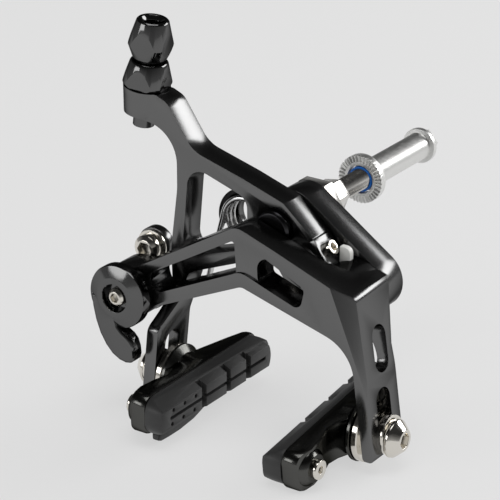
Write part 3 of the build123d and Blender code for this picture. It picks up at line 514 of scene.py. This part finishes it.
# Brake pad: deep grooves across the face, and two rows of small dimples in its front third
groove_floor_x = -17.2
groove_half_width = 1.0
beside_pad_x = -14
below_pad_z, above_pad_z = -56, -42
dimple_floor_x = -16.0
dimple_length = 2.5
dimple_r = 0.62
dimple_pitch = 5.2
rubber = merged_copy("left_brake_pad")
for place in (-42.6, -30.7, -21.1):
    groove = block("groove", (groove_floor_x, place - groove_half_width, below_pad_z),
                   (beside_pad_x, place + groove_half_width, above_pad_z))
    combine(rubber, groove, "DIFFERENCE")
for row_y, row_z in ((-46.4, -47.2), (-47.1, -51.1)):
    for step in range(3):
        dimple = turned_piece("dimple", (dimple_floor_x, row_y - dimple_pitch * step, row_z), (1, 0, 0),
                              [(0, dimple_r), (dimple_length, dimple_r)], sides=12)
        combine(rubber, dimple, "DIFFERENCE")
round_edges(rubber, moulded_edge, angle=35)

# Water deflector under the front of the left pad
fin_low, fin_high = (-21.6, -58.6, -57.7), (-18.6, -33.2, -54.0)
fin_foot = {-58.6: -56.9, -57.2: -57.5, -41.9: -57.0, -37.1: -55.6, -33.2: -54.6}   # Z along Y
fin_nose_drop = 2.4
fin_taper = 1.0
fin = block("left_pad_fin", fin_low, fin_high)
slice_along_y(fin, (-57.2, -53.7, -48.5, -41.9, -37.1))
for place, foot in fin_foot.items():
    shift(fin, lambda x, y, z: near(y, place) and near(z, fin_low[2]), (0, 0, foot - fin_low[2]))
shift(fin, lambda x, y, z: near(y, fin_low[1]) and near(z, fin_high[2]), (0, 0, -fin_nose_drop))
shift(fin, lambda x, y, z: z < fin_high[2] - 0.5 and near(x, fin_low[0]), (fin_taper, 0, 0))
round_edges(fin, fin_edge, angle=30)
smooth(fin)
add_to(fin, "left_brake_pad", pad_rubber)

# The right pad is the left one mirrored, and set nose down
pad_pitch = 7.0                 # degrees
mirror_shift = 2.8              # twice the distance from the centre bolt to the middle between the pads
for left_piece, part, material in (
    (holder, "pad_holder", holder_black),
    (dish, "inner_dome_washer", nickel),
    (rubber, "brake_pad", pad_rubber),
):
    right_piece = bpy.data.objects.new("right_" + part + "_finished", left_piece.data.copy())
    bpy.context.collection.objects.link(right_piece)
    start_edit(right_piece, "SELECT")
    bpy.ops.transform.resize(value=(-1, 1, 1), center_override=(0, 0, 0))
    bpy.ops.transform.translate(value=(mirror_shift * mm, 0, 0))
    bpy.ops.transform.rotate(value=radians(-pad_pitch), orient_axis="X",
                             center_override=(0, pad_bolt_y * mm, pad_bolt_z * mm))
    end_edit(face_outward=True)
    for side, piece in (("left_", left_piece), ("right_", right_piece)):
        smooth(piece, crease=30)
        stand_for(piece, side + part, material)

for side in ("left_", "right_"):
    finish_pieces(nickel, turned_edge, side + "pad_bolt", side + "insert_screw", side + "inner_seat_washer",
                  side + "outer_seat_washer", side + "outer_dome_washer")

# Stage: a pale sheet of paper. The camera and polished metal see it at its full paleness, and the
# shadow stays on it
paper_glow = 0.72               # how much of that paleness is the paper's own
floor_size = 6
floor_drop = 0.2 * mm
paper = bpy.data.materials.new("pale_paper")
paper_tree = empty_tree(paper)
lit = add_node(
    paper_tree, "ShaderNodeBsdfPrincipled",
    inputs={"Base Color": linear("#e2e2e2"), "Roughness": 0.95, "Specular IOR Level": 0.1},
)
plain = add_node(paper_tree, "ShaderNodeEmission", inputs={"Color": linear("#e6e6e6"), "Strength": 1.0})
ray = add_node(paper_tree, "ShaderNodeLightPath")
seen = add_node(
    paper_tree, "ShaderNodeMath", settings={"operation": "MAXIMUM"},
    links={0: (ray, "Is Camera Ray"), 1: (ray, "Is Glossy Ray")},
)
share = add_node(
    paper_tree, "ShaderNodeMath", settings={"operation": "MULTIPLY"},
    inputs={1: paper_glow}, links={0: (seen, "Value")},
)
paper_mix = add_node(
    paper_tree, "ShaderNodeMixShader",
    links={"Fac": (share, "Value"), 1: (lit, "BSDF"), 2: (plain, "Emission")},
)
add_node(paper_tree, "ShaderNodeOutputMaterial", links={"Surface": (paper_mix, "Shader")})
bpy.ops.mesh.primitive_plane_add(size=floor_size, location=(0, 0, cad_box[0][2] - floor_drop))
floor = bpy.context.active_object
floor.name = "floor"
paint(floor, paper)

# Camera at the photograph's place: azimuth to the right of the front, elevation above it
camera_azimuth = radians(34.01)
camera_elevation = radians(22.81)
camera_distance = 655.08 * mm
aim_right = -17.99 * mm
aim_up = -12.41 * mm
aim_back = -9.8 * mm
focal_pixels = 2400
photo_pixels = 500
sensor_width = 36
right = Vector((cos(camera_azimuth), sin(camera_azimuth), 0))
forward = Vector((
    -sin(camera_azimuth) * cos(camera_elevation),
    cos(camera_azimuth) * cos(camera_elevation),
    -sin(camera_elevation),
))
up = right.cross(forward)
camera_place = right * aim_right + up * aim_up - forward * camera_distance + Vector((0, aim_back, 0))
camera = bpy.data.objects.new("camera", bpy.data.cameras.new("camera"))
bpy.context.collection.objects.link(camera)
camera.matrix_world = Matrix.Translation(camera_place) @ Matrix((right, up, -forward)).transposed().to_4x4()
camera.data.sensor_fit = "HORIZONTAL"
camera.data.sensor_width = sensor_width
camera.data.lens = sensor_width * focal_pixels / photo_pixels
camera.data.clip_start = 0.01
camera.data.clip_end = 20
bpy.context.scene.camera = camera


def softbox(name, place, width, height, watts):
    """Rectangular lamp that points at the centre bolt."""
    lamp = bpy.data.lights.new(name, "AREA")
    lamp.shape = "RECTANGLE"
    lamp.size = width
    lamp.size_y = height
    lamp.energy = watts
    stand = bpy.data.objects.new(name, lamp)
    bpy.context.collection.objects.link(stand)
    stand.location = place
    stand.rotation_euler = (-Vector(place)).to_track_quat("-Z", "Y").to_euler()


softbox("back_softbox", (0.60, 0.92, 0.50), 0.85, 0.42, 7.4)
softbox("front_softbox", (-0.62, -0.98, 0.30), 0.6, 0.34, 2.2)
softbox("top_softbox", (0.10, -0.10, 1.1), 0.9, 0.6, 3.6)

# Studio: pale walls for the eye and for the soft fill. Polished metal mirrors a pale horizon under
# a dark ceiling
wall_colour = linear("#e4e4e4")
horizon_height, ceiling_height = 0.05, 0.50
horizon_light, ceiling_light = 0.40, 0.035
fill_light = 0.55
world = bpy.data.worlds.new("studio")
bpy.context.scene.world = world
world_tree = empty_tree(world)
direction = add_node(world_tree, "ShaderNodeTexCoord")
height = add_node(world_tree, "ShaderNodeSeparateXYZ", links={"Vector": (direction, "Generated")})
ceiling = add_node(
    world_tree, "ShaderNodeMapRange",
    inputs={
        "From Min": horizon_height, "From Max": ceiling_height,
        "To Min": horizon_light, "To Max": ceiling_light,
    },
    links={"Value": (height, "Z")},
)
mirrored = add_node(
    world_tree, "ShaderNodeBackground",
    inputs={"Color": wall_colour}, links={"Strength": (ceiling, "Result")},
)
fill = add_node(world_tree, "ShaderNodeBackground", inputs={"Color": wall_colour, "Strength": fill_light})
backdrop = add_node(
    world_tree, "ShaderNodeBackground", inputs={"Color": linear("#e2e2e2"), "Strength": 1.0},
)
world_ray = add_node(world_tree, "ShaderNodeLightPath")
for_metal = add_node(
    world_tree, "ShaderNodeMixShader",
    links={"Fac": (world_ray, "Is Glossy Ray"), 1: (fill, "Background"), 2: (mirrored, "Background")},
)
for_camera = add_node(
    world_tree, "ShaderNodeMixShader",
    links={"Fac": (world_ray, "Is Camera Ray"), 1: (for_metal, "Shader"), 2: (backdrop, "Background")},
)
add_node(world_tree, "ShaderNodeOutputWorld", links={"Surface": (for_camera, "Shader")})
bpy.context.scene.view_settings.view_transform = "Standard"
